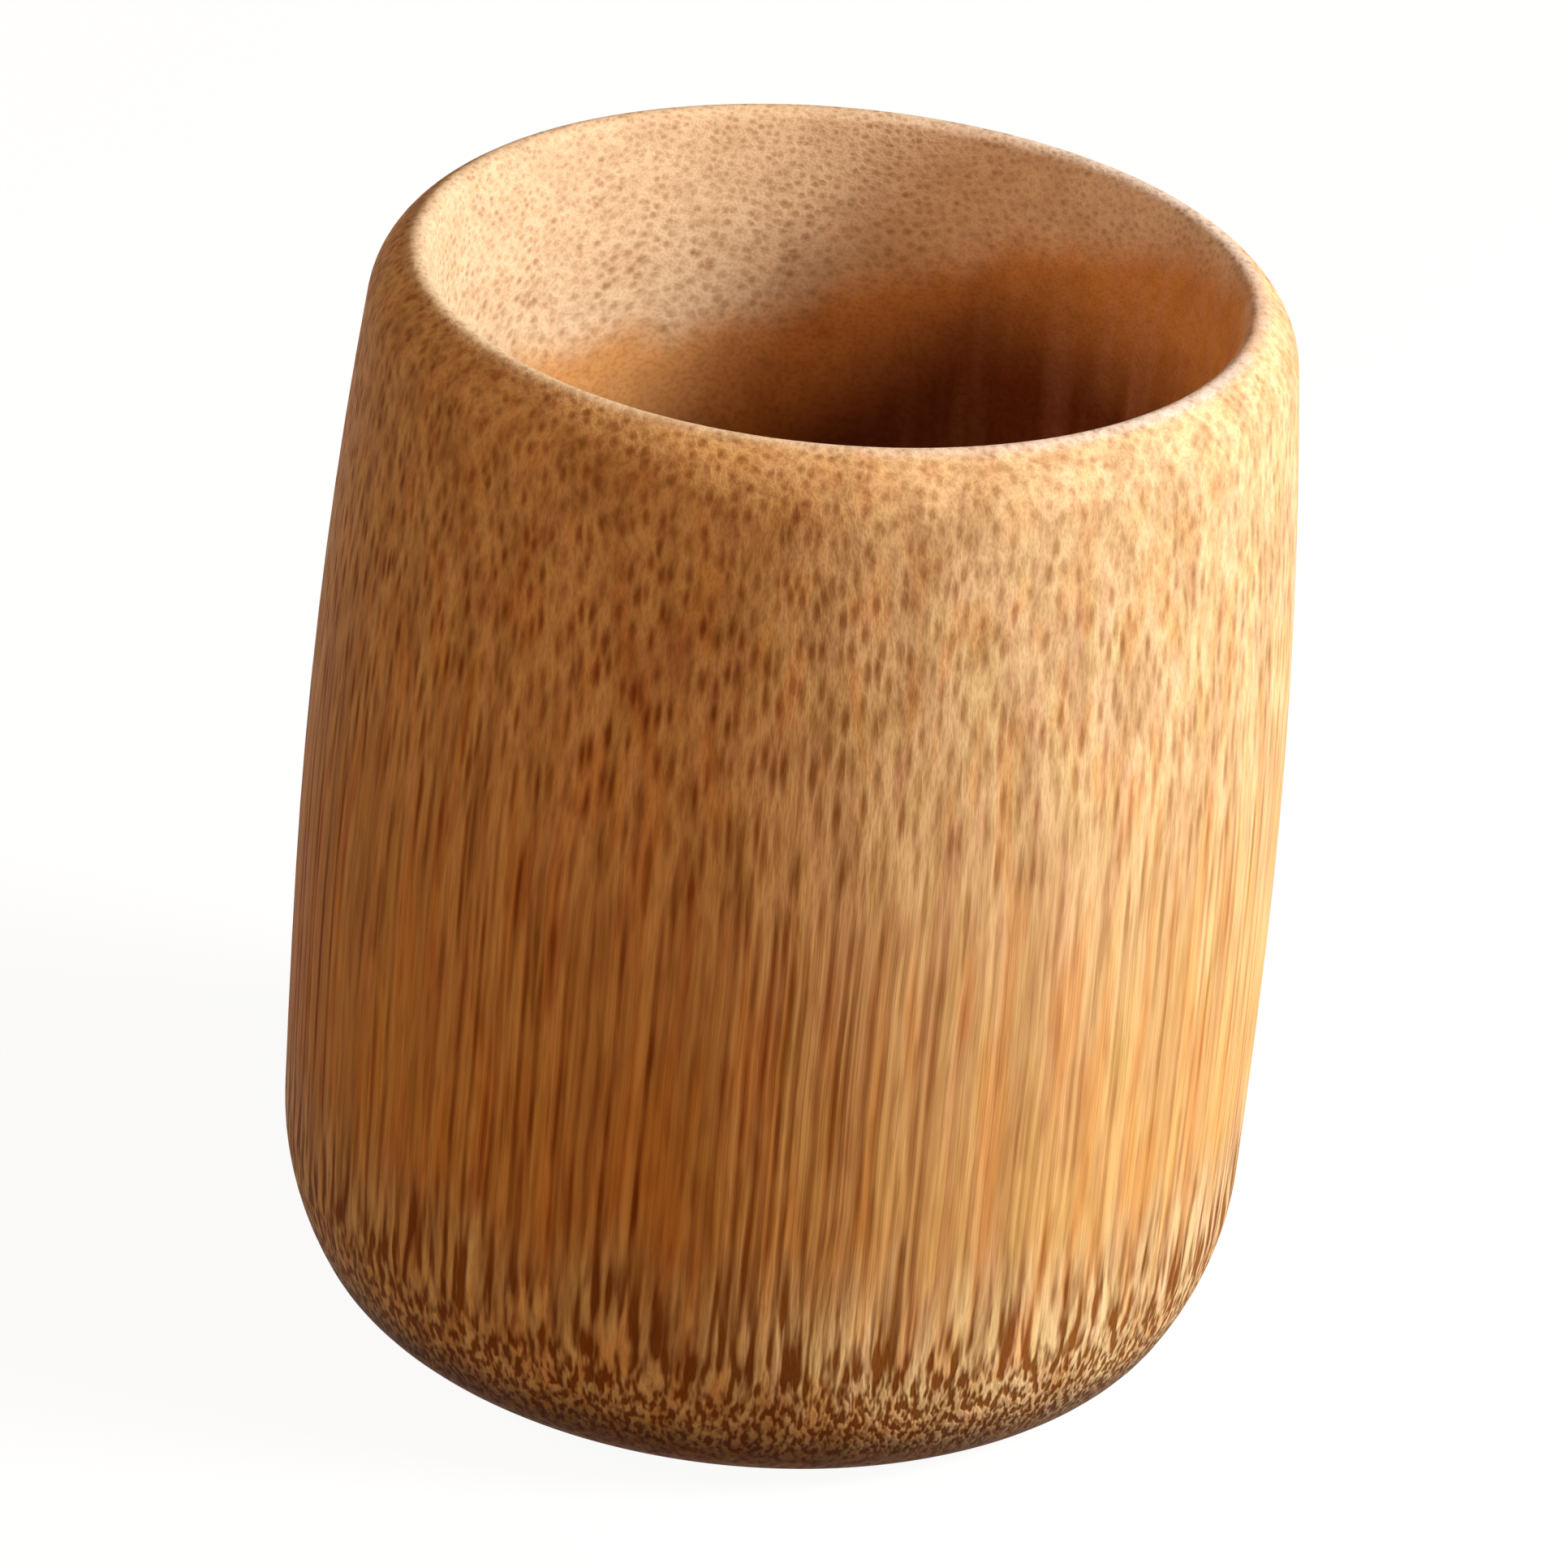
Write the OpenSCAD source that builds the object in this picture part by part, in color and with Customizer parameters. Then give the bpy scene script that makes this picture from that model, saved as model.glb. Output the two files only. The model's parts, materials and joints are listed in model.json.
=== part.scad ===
// Bamboo cup, turned from one thick-walled length of culm with its node left in as the floor.
// Millimetres, +Z up. The origin is the centre of the foot ring, on the table.

/* [Barrel] */
// Height of the cup, from the table to the top of the lip
cup_h = 91.4; // [80:0.1:110]
// Outside diameter at the belly, the widest circle
belly_d = 80; // [64:0.5:100]
// Height of the belly above the table
belly_z = 35.3; // [28:0.1:42]
// Thickness of the wall at the belly
wall_t = 9; // [8:0.1:11]
// How far the outside leans in between the belly and the shoulder
barrel_lean = 2.9; // [1.8:0.1:3.6]
// How far the outside draws in between the belly and the heel
belly_dip = 0.2; // [0.1:0.05:0.8]

/* [Mouth] */
// Height of the shoulder, from where it starts up to the top of the lip
shoulder_h = 4.9; // [3.5:0.1:8]
// Thickness of the lip, which is fully rounded
lip_t = 2.2; // [1.6:0.1:2.8]
// How far the crest of the lip stands outside the bore
mouth_flare = 2.55; // [2:0.05:3.6]
// Radius of the trumpet curve that eases the bore into the lip
flare_r = 60; // [40:1:90]

/* [Heel and foot] */
// Height at which the heel starts to curve in
heel_h = 15; // [12:0.1:20]
// Width of the heel, from the belly's circle in to the edge of the foot
heel_w = 9.65; // [8.8:0.05:13]
// Radius of the tight corner where the heel turns into the foot
corner_r = 7.3; // [5:0.1:8]

/* [Floor] */
// Height of the hollow under the floor, left from the joint below
hollow_h = 3; // [2:0.1:3.8]
// Thickness of the diaphragm at its edge
diaphragm_t = 5.4; // [4:0.1:8]
// How much the diaphragm domes upwards at its middle
crown_h = 1; // [0.4:0.1:2]
// Width of the ledge that carries the diaphragm
ledge_w = 3; // [1.5:0.1:5]
// Height of the step from the diaphragm's edge up to the wall's floor ring
floor_step = 0.6; // [0.5:0.1:1.5]
// Radius of the round between the bore and the floor
floor_round = 9; // [6:0.1:14]
// Radius of the eased edges at the step and at the hollow's mouth
edge_r = 0.4; // [0.2:0.05:0.5]

/* [Hidden] */
$fn = 180;

// Most that a drawn arc strays from the true one
arc_sag = 0.01;

belly_r = belly_d / 2;
bore_r = belly_r - wall_t;
foot_r = belly_r - heel_w;
seat_r = bore_r - floor_round - edge_r;
hollow_r = seat_r - ledge_w;
rim_z = hollow_h + diaphragm_t;
floor_z = rim_z + floor_step;

// Unit vector at an angle in the half section, where x is the radius and y the height
function unit(a) = [cos(a), sin(a)];
function heading(v) = atan2(v.y, v.x);

// Arc as points with both ends, so finely divided that no chord strays by more than arc_sag
function arc_steps(r, turn) = max(1, ceil(abs(turn) / (2 * acos(1 - arc_sag / r))));
function arc(centre, r, from, to) =
    let (n = arc_steps(r, to - from))
    [for (i = [0 : n]) centre + r * unit(from + (to - from) * i / n)];

// An arc that starts upright at the belly and draws in by `lean` over a height `rise`
function lean_turn(lean, rise) = 2 * atan(lean / rise);
function lean_r(lean, rise) = rise / sin(lean_turn(lean, rise));

// Radius of the arc that leaves point p with normal n and runs smoothly into a smaller round
function easing_r(p, n, round_c, round_r) =
    let (d = p - round_c)
    (d * d - round_r * round_r) / (2 * (d * n - round_r));

// Lip: one round, whose top is the top of the cup
lip_r = lip_t / 2;
lip_c = [bore_r + mouth_flare, cup_h - lip_r];

// Upper barrel: the long curve from the belly to the shoulder
barrel_rise = cup_h - shoulder_h - belly_z;
barrel_a = lean_turn(barrel_lean, barrel_rise);
barrel_r = lean_r(barrel_lean, barrel_rise);
barrel_c = [belly_r - barrel_r, belly_z];

// Shoulder: eases the barrel into the lip
shoulder_p = barrel_c + barrel_r * unit(barrel_a);
shoulder_r = easing_r(shoulder_p, unit(barrel_a), lip_c, lip_r);
shoulder_c = shoulder_p - shoulder_r * unit(barrel_a);
shoulder_a = heading(lip_c - shoulder_c);

// Trumpet curve: upright at the bore, and tangent to the inside of the lip
flare_run = bore_r + flare_r - lip_c.x;
flare_z = lip_c.y - sqrt(pow(flare_r - lip_r, 2) - pow(flare_run, 2));
flare_c = [bore_r + flare_r, flare_z];
flare_a = heading(lip_c - flare_c);

// Lower barrel: the shallow curve from the belly down to the heel
dip_rise = belly_z - heel_h;
dip_a = lean_turn(belly_dip, dip_rise);
dip_r = lean_r(belly_dip, dip_rise);
dip_c = [belly_r - dip_r, belly_z];

// Heel: an open curve that runs into the tight corner at the foot
corner_c = [foot_r, corner_r];
heel_p = dip_c + dip_r * unit(-dip_a);
heel_r = easing_r(heel_p, unit(-dip_a), corner_c, corner_r);
heel_c = heel_p - heel_r * unit(-dip_a);
heel_a = heading(corner_c - heel_c);

// The dome over the whole diaphragm. Its underside follows the same curve inside the ledge
dome_r = (seat_r * seat_r + crown_h * crown_h) / (2 * crown_h);
dome_a = asin(seat_r / dome_r);
vault_a = asin(hollow_r / dome_r);

// Outside of the wall, from the foot up to the lip
outside = concat(
    arc(corner_c, corner_r, -90, heel_a),
    arc(heel_c, heel_r, heel_a, -dip_a),
    arc(dip_c, dip_r, -dip_a, 0),
    arc(barrel_c, barrel_r, 0, barrel_a),
    arc(shoulder_c, shoulder_r, barrel_a, shoulder_a)
);

// Over the lip and down the bore to the ring round the diaphragm
inside = concat(
    arc(lip_c, lip_r, shoulder_a, flare_a),
    arc(flare_c, flare_r, flare_a, 180),
    arc([bore_r - floor_round, floor_z + floor_round], floor_round, 0, -90)
);

// Step, seat, ledge and the mouth of the hollow
underside = concat(
    arc([seat_r + edge_r, floor_z - edge_r], edge_r, 90, 180),
    [[seat_r, hollow_h], [hollow_r, hollow_h]],
    arc([hollow_r + edge_r, edge_r], edge_r, 180, 270)
);

// Points of a list without those that repeat the point before them
function apart(points) = [for (i = [0 : len(points) - 1])
    if (i == 0 || norm(points[i] - points[i - 1]) > arc_sag) points[i]];

// Culm wall: barrel, lip, bore, heel and foot ring as one turned tube
module culm_wall() {
    color([0.72, 0.50, 0.27])
        rotate_extrude()
            polygon(apart(concat(outside, inside, underside)));
}

// Diaphragm: the domed plate of the node, on the ledge and inside the seat
module node_diaphragm() {
    top_c = [0, rim_z + crown_h - dome_r];
    vault_c = [0, hollow_h - dome_r * cos(vault_a)];
    color([0.60, 0.38, 0.18])
        rotate_extrude()
            polygon(apart(concat(
                arc(vault_c, dome_r, 90, 90 - vault_a),
                [[seat_r, hollow_h]],
                arc(top_c, dome_r, 90 - dome_a, 90)
            )));
}

culm_wall();
node_diaphragm();
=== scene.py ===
"""Bamboo cup: the finished culm wall and node diaphragm, in a plain pale studio.

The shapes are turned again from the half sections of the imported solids, with Geometry Nodes.
The bamboo is one solid texture of upright fibre bundles, so each surface shows what the lathe
laid bare there: dots on end grain, dashes where the wall slopes, streaks where it stands upright.
"""

import json
import logging
import math
from dataclasses import dataclass, field
from enum import Enum
from typing import Any, Union

import bmesh
import bpy
from mathutils import Matrix, Vector

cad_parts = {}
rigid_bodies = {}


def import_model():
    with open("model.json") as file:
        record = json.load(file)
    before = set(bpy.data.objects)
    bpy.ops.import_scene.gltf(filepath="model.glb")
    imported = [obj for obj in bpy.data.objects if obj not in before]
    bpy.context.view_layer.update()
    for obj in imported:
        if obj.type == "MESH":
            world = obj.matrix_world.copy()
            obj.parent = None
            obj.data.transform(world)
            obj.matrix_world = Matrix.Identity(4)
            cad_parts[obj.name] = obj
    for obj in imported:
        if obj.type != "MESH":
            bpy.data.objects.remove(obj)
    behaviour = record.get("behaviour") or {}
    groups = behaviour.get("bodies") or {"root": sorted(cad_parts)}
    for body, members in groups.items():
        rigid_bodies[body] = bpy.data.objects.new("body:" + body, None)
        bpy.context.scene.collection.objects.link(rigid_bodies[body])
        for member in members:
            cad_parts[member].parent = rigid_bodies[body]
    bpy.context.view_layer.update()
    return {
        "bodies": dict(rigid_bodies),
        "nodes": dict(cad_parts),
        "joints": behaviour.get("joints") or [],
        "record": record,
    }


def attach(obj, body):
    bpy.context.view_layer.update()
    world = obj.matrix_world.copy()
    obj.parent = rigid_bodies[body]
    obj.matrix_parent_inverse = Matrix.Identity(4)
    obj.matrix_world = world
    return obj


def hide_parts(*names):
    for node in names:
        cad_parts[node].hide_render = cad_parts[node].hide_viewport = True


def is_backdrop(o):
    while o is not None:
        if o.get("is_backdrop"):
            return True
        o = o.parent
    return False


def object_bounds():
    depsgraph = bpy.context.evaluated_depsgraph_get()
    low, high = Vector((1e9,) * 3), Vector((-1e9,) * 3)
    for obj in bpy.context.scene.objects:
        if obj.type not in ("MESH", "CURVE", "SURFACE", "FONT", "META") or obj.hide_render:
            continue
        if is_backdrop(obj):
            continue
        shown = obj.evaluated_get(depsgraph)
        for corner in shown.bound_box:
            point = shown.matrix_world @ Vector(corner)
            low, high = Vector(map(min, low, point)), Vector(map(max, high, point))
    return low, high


log = logging.getLogger("bamboo_cup")

MM = 0.001
ROOT = "root"


class Slot(Enum):
    """Material slots of the record, one for each piece."""

    CULM = "culm_bamboo"
    NODE = "node_bamboo"


# Shader and geometry trees


class Tree:
    """A node tree that is built from calls, for a material, the world or geometry."""

    def __init__(self, nodes: bpy.types.NodeTree) -> None:
        """Takes the tree to build in and empties it."""
        self.nodes = nodes
        self.nodes.nodes.clear()

    def add(self, kind: str, settings: dict[str, Any], inputs: dict[Any, Any]) -> bpy.types.Node:
        """Adds one node.

        Args:
            kind: Blender's type name of the node.
            settings: Properties of the node, set first.
            inputs: Values, signals or sockets by input name or number.

        Returns:
            The new node.
        """
        made = self.nodes.nodes.new(kind)
        for name, value in settings.items():
            setattr(made, name, value)
        for name, value in inputs.items():
            self.feed(made.inputs[name], value)
        return made

    def feed(self, socket: bpy.types.NodeSocket, value: Any) -> None:
        """Feeds one input.

        Args:
            socket: The input.
            value: A signal or an output socket to link it to, or else the value to give it.
        """
        if isinstance(value, Signal):
            value = value.socket
        if isinstance(value, bpy.types.NodeSocket):
            self.nodes.links.new(value, socket)
        else:
            socket.default_value = value


@dataclass(frozen=True)
class Signal:
    """A value that varies over a surface: an output socket with arithmetic."""

    tree: Tree
    socket: bpy.types.NodeSocket

    def maths(self, operation: str, *values: Any, clamp: bool = False) -> "Signal":
        """Adds a Math node.

        Args:
            operation: The Math node's operation.
            values: What its sockets get, in order.
            clamp: Whether the result is kept between 0 and 1.

        Returns:
            The node's output.
        """
        settings = {"operation": operation, "use_clamp": clamp}
        made = self.tree.add("ShaderNodeMath", settings, dict(enumerate(values)))
        return Signal(self.tree, made.outputs[0])

    def __add__(self, other: "Number") -> "Signal":
        """Sum."""
        return self.maths("ADD", self, other)

    def __radd__(self, other: "Number") -> "Signal":
        """Sum, reflected."""
        return self.maths("ADD", other, self)

    def __sub__(self, other: "Number") -> "Signal":
        """Difference."""
        return self.maths("SUBTRACT", self, other)

    def __rsub__(self, other: "Number") -> "Signal":
        """Difference, reflected."""
        return self.maths("SUBTRACT", other, self)

    def __mul__(self, other: "Number") -> "Signal":
        """Product."""
        return self.maths("MULTIPLY", self, other)

    def __rmul__(self, other: "Number") -> "Signal":
        """Product, reflected."""
        return self.maths("MULTIPLY", other, self)

    def __truediv__(self, other: "Number") -> "Signal":
        """Quotient."""
        return self.maths("DIVIDE", self, other)

    def __rtruediv__(self, other: "Number") -> "Signal":
        """Quotient, reflected."""
        return self.maths("DIVIDE", other, self)

    def root(self) -> "Signal":
        """The square root."""
        return self.maths("SQRT", self)

    def clipped(self) -> "Signal":
        """The value, kept between 0 and 1."""
        return self.maths("ADD", self, 0.0, clamp=True)

    def at_least(self, low: float) -> "Signal":
        """The value, or `low` where that is greater."""
        return self.maths("MAXIMUM", self, low)

    def at_most(self, high: float) -> "Signal":
        """The value, or `high` where that is less."""
        return self.maths("MINIMUM", self, high)

    def between(self, first: float, second: float) -> "Signal":
        """`first` where the value is 0, `second` where it is 1, and between them elsewhere."""
        return self * (second - first) + first

    def step(self, start: float, full: float) -> "Signal":
        """Adds a smooth step.

        Args:
            start: The value at which the step is still 0.
            full: The value at which it has reached 1, above or below the start.

        Returns:
            The step, from 0 to 1.
        """
        settings = {"interpolation_type": "SMOOTHSTEP"}
        ends = (start, full, 0.0, 1.0) if start < full else (full, start, 1.0, 0.0)
        inputs = dict(zip(("From Min", "From Max", "To Min", "To Max"), ends))
        made = self.tree.add("ShaderNodeMapRange", settings, {"Value": self, **inputs})
        return Signal(self.tree, made.outputs[0])


Number = Union[Signal, float]
Colour = tuple[float, float, float, float]

WHITE: Colour = (1.0, 1.0, 1.0, 1.0)


def tone(red: float, green: float, blue: float) -> Colour:
    """Turns a display colour into linear light.

    Args:
        red, green, blue: Display values, from 0 to 255.

    Returns:
        The opaque colour.
    """

    def linear(value: float) -> float:
        """One channel, by the sRGB curve."""
        share = value / 255
        return share / 12.92 if share <= 0.04045 else ((share + 0.055) / 1.055) ** 2.4

    return (linear(red), linear(green), linear(blue), 1.0)


@dataclass(frozen=True)
class Fade:
    """How something comes in as a measure runs from one value to another.

    Attributes:
        start: The value at which it starts.
        full: The value at which it is full, above or below the start.
        depth: How strong it is when full, from 0 to 1.
    """

    start: float
    full: float
    depth: float = 1.0

    def over(self, measure: Signal) -> Signal:
        """How strong it is at each value of the measure."""
        return measure.step(self.start, self.full) * self.depth


@dataclass(frozen=True)
class Grain:
    """A soft uneven pattern, made of noise round the value MIDDLE.

    Attributes:
        size: Mean distance between its features, in metres.
        fade: Values of the noise between which the pattern comes in, and its depth.
        detail: Octaves of finer noise in it.
        rough: How strong each octave is against the one before.
        rise: How fast it changes upwards, against across. A low one draws it out into streaks.
        flat: Whether it is the same at every height.
    """

    MIDDLE = 0.5

    size: float
    fade: Fade = Fade(0.0, 1.0)
    detail: float = 1.0
    rough: float = 0.5
    rise: float = 1.0
    flat: bool = False


# The Mix node's sockets, by number, because their names recur on it for each kind of value
MIX_SHARE, MIX_FIRST, MIX_SECOND, MIX_RESULT = 0, 6, 7, 2


class Surface(Tree):
    """The node tree of one material."""

    def __init__(self, name: str) -> None:
        """Makes the material and its output node.

        Args:
            name: Name of the material.
        """
        self.material = bpy.data.materials.new(name)
        self.material.use_nodes = True
        super().__init__(self.material.node_tree)
        self.output = self.add("ShaderNodeOutputMaterial", {}, {})

    def signal(self, kind: str, settings: dict, inputs: dict, output: Any = 0) -> Signal:
        """Adds a node and returns one of its outputs as a signal."""
        return Signal(self, self.add(kind, settings, inputs).outputs[output])

    def place(self) -> Signal:
        """The point on the surface, in metres, in the frame's axes."""
        return self.signal("ShaderNodeTexCoord", {}, {}, "Object")

    def parts(self, place: Signal) -> tuple[Signal, Signal, Signal]:
        """The X, Y and Z of a vector, each as a signal."""
        outputs = self.add("ShaderNodeSeparateXYZ", {}, {0: place}).outputs
        return tuple(Signal(self, output) for output in outputs)

    def vector(self, operation: str, *values: Any) -> Signal:
        """Adds a Vector Math node. Its vector sockets get the values in order."""
        settings = {"operation": operation}
        return self.signal("ShaderNodeVectorMath", settings, dict(enumerate(values)))

    def scaled(self, place: Signal, factor: Number) -> Signal:
        """A vector times a number."""
        inputs = {0: place, "Scale": factor}
        return self.signal("ShaderNodeVectorMath", {"operation": "SCALE"}, inputs)

    def mix(self, share: Number, first: Any, second: Any, blend: str = "MIX") -> Signal:
        """Mixes two colours.

        Args:
            share: Share of the second colour, from 0 to 1.
            first: The colour below.
            second: The colour above.
            blend: The Mix node's blend type.

        Returns:
            The mixed colour.
        """
        settings = {"data_type": "RGBA", "blend_type": blend, "clamp_factor": True}
        made = self.add("ShaderNodeMix", settings, {
            MIX_SHARE: share, MIX_FIRST: first, MIX_SECOND: second})
        return Signal(self, made.outputs[MIX_RESULT])

    def noise(self, place: Signal, grain: Grain) -> Signal:
        """A grain's bare noise, from 0 to 1."""
        return Signal(self, self._noise(place, grain).outputs[0])

    def noises(self, place: Signal, grain: Grain) -> Signal:
        """Three noises of a grain that differ, each from 0 to 1, as a vector."""
        return Signal(self, self._noise(place, grain).outputs["Color"])

    def _noise(self, place: Signal, grain: Grain) -> bpy.types.Node:
        """Adds a grain's noise node.

        Args:
            place: Where the noise is read.
            grain: The grain.

        Returns:
            The node.
        """
        if grain.rise != 1.0:
            place = self.vector("MULTIPLY", place, (1.0, 1.0, grain.rise))
        settings = {"noise_dimensions": "2D" if grain.flat else "3D"}
        return self.add("ShaderNodeTexNoise", settings, {
            "Vector": place,
            "Scale": 1 / grain.size,
            "Detail": grain.detail,
            "Roughness": grain.rough,
        })

    def pattern(self, place: Signal, grain: Grain) -> Signal:
        """A grain's pattern, from 0 to its depth."""
        return grain.fade.over(self.noise(place, grain))

    def swirl(self, place: Signal, grain: Grain) -> Signal:
        """A vector that points every way, by a grain's noise."""
        return self.vector("SUBTRACT", self.noises(place, grain), (Grain.MIDDLE,) * 3)


# The bamboo


@dataclass(frozen=True)
class Zones:
    """What holds at each point of the culm's surface, as signals.

    Attributes:
        place: The point, in metres.
        z: Its height, in metres.
        upright: The point, in coordinates in which the fibres stand straight.
        inner: 1 in the inner half of the wall, 0 in the outer half.
        heel: 1 where the heel has its ridges.
        painted_sheen: 1 on the side painted with the key light's sheen.
        climb: How far the edge of the mouth's cut has climbed, in metres.
        cut: 1 above that edge.
        skin: 1 on the culm's own skin inside, below that edge.
    """

    place: Signal
    z: Signal
    upright: Signal
    inner: Signal
    heel: Signal
    painted_sheen: Signal
    climb: Signal
    cut: Signal
    skin: Signal


@dataclass(frozen=True)
class Course:
    """The course of the fibres through the wall.

    They stand upright on the barrel. Above it they spread, outwards in the outer half of the wall
    and inwards in the inner half, as they do near a culm's nodes. Near the foot they spread again.

    Attributes:
        crest: Height of the lip, in metres.
        spread_from: Height above which they spread, in metres.
        outward, inward: How fast they spread in the outer and in the inner half, per metre.
        foot_below: Height below which they spread near the foot, in metres.
        foot_spread: How fast they spread there, per metre.
        drift: Pattern by which a fibre strays sideways.
        wander: How far it strays, in metres.
    """

    crest: float = 91.4 * MM
    spread_from: float = 50 * MM
    outward: float = 4.8
    inward: float = 13.2
    foot_below: float = 27 * MM
    foot_spread: float = 5.5
    drift: Grain = Grain(7 * MM, rise=7 / 22)
    wander: float = 1.15 * MM

    def straightened(self, made: Surface, place: Signal, radius: Signal, inner: Signal) -> Signal:
        """Gives coordinates in which the leaning and wandering fibres stand straight.

        Args:
            made: The material's tree.
            place: The point on the surface.
            radius: Its distance from the axis.
            inner: 1 in the inner half of the wall.

        Returns:
            The coordinates, in metres.
        """
        z = made.parts(place)[2]
        above = (z - self.spread_from).at_least(0.0)
        below = (self.foot_below - z).at_least(0.0)
        spread = inner.between(-self.outward, self.inward)
        lip = (self.crest - self.spread_from) ** 2
        inwards = (above * above - lip) * spread - below * below * self.foot_spread
        stood = made.scaled(place, 1 + inwards / radius)
        strayed = made.scaled(made.swirl(place, self.drift), self.wander)
        return made.vector("ADD", stood, strayed)


@dataclass(frozen=True)
class Bundles:
    """One generation of fibre bundles, upright threads through the culm.

    Attributes:
        spacing: Mean distance between neighbours, in metres.
        core: Radius at which a bundle is fully dark, in metres.
        edge: Radius at which it has faded into the ground tissue, in metres.
        outer, inner, heel: How dark it gets in the outer and in the inner half of the wall and
            at the heel, from 0 to 1.
        scatter: How far the bundles stray from even rows, from 0 to 1.
        swell: How much wider they get at the heel.
        least: How dark the palest of them is against the darkest.
    """

    spacing: float
    core: float
    edge: float
    outer: float
    inner: float
    heel: float
    scatter: float
    swell: float = 0.35
    least: float = 0.72

    def shown(self, made: Surface, zones: Zones) -> Signal:
        """Adds the bundles to a material.

        Args:
            made: The material's tree.
            zones: What holds at each point.

        Returns:
            How dark they are at each point, from 0 to 1.
        """
        cells = made.add("ShaderNodeTexVoronoi", {"voronoi_dimensions": "2D"}, {
            "Vector": zones.upright, "Scale": 1 / self.spacing, "Randomness": self.scatter})
        away = Signal(made, cells.outputs["Distance"]) / (1 + zones.heel * self.swell)
        chance = made.parts(Signal(made, cells.outputs["Color"]))[0]
        near = away.step(self.edge / self.spacing, self.core / self.spacing)
        depth = zones.inner.between(self.outer, self.inner)
        depth = depth + zones.heel * (self.heel - self.outer)
        return near * chance.between(self.least, 1.0) * depth


@dataclass(frozen=True)
class Wear:
    """Where lips, hands and the table have worn the lacquer.

    Attributes:
        lip, foot: Heights between which the wear at the lip and at the foot comes in, in metres.
        patches: The uneven patches that it forms.
        even: Share of the wear at the lip and the foot that is even.
        everywhere: How strongly the patches show on the rest.
    """

    lip: Fade = Fade(89.6 * MM, 91.2 * MM)
    foot: Fade = Fade(2.5 * MM, 0.3 * MM)
    patches: Grain = Grain(5 * MM, Fade(0.35, 0.7), detail=3.0)
    even: float = 0.4
    everywhere: float = 0.25

    def shown(self, made: Surface, zones: Zones) -> Signal:
        """Adds the wear to a material.

        Args:
            made: The material's tree.
            zones: What holds at each point.

        Returns:
            How worn the lacquer is at each point, from 0 to 1.
        """
        patches = made.pattern(zones.place, self.patches)
        ends = self.lip.over(zones.z) + self.foot.over(zones.z)
        return (ends * patches.between(self.even, 1.0) + self.everywhere * patches).clipped()


@dataclass(frozen=True)
class Lacquer:
    """The clear satin lacquer over the bamboo.

    Attributes:
        roughness: Roughness where the lacquer is whole.
        worn: Roughness where it has worn thin.
        index: Index of refraction.
        level: Share of the usual mirror light, 0.5 for all of it.
        sink: Depth of the relief under it, in metres.
        crisp: How sharply that relief shows, from 0 to 1.
    """

    roughness: float = 0.52
    worn: float = 0.66
    index: float = 1.45
    level: float = 0.05
    sink: float = 0.10 * MM
    crisp: float = 0.8

    def coated(self, made: Surface, colour: Signal, rough: Signal,
               relief: Signal) -> bpy.types.Material:
        """Closes a material with the lacquer.

        Args:
            made: The material's tree.
            colour: Colour of the bamboo.
            rough: Roughness of the lacquer.
            relief: Height of the surface, as a share of the relief's depth.

        Returns:
            The finished material.
        """
        bump = made.signal("ShaderNodeBump", {}, {
            "Strength": self.crisp, "Distance": self.sink, "Height": relief})
        shader = made.add("ShaderNodeBsdfPrincipled", {}, {
            "Base Color": colour,
            "Roughness": rough,
            "IOR": self.index,
            "Specular IOR Level": self.level,
            "Normal": bump,
        })
        made.feed(made.output.inputs["Surface"], shader.outputs[0])
        return made.material


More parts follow.
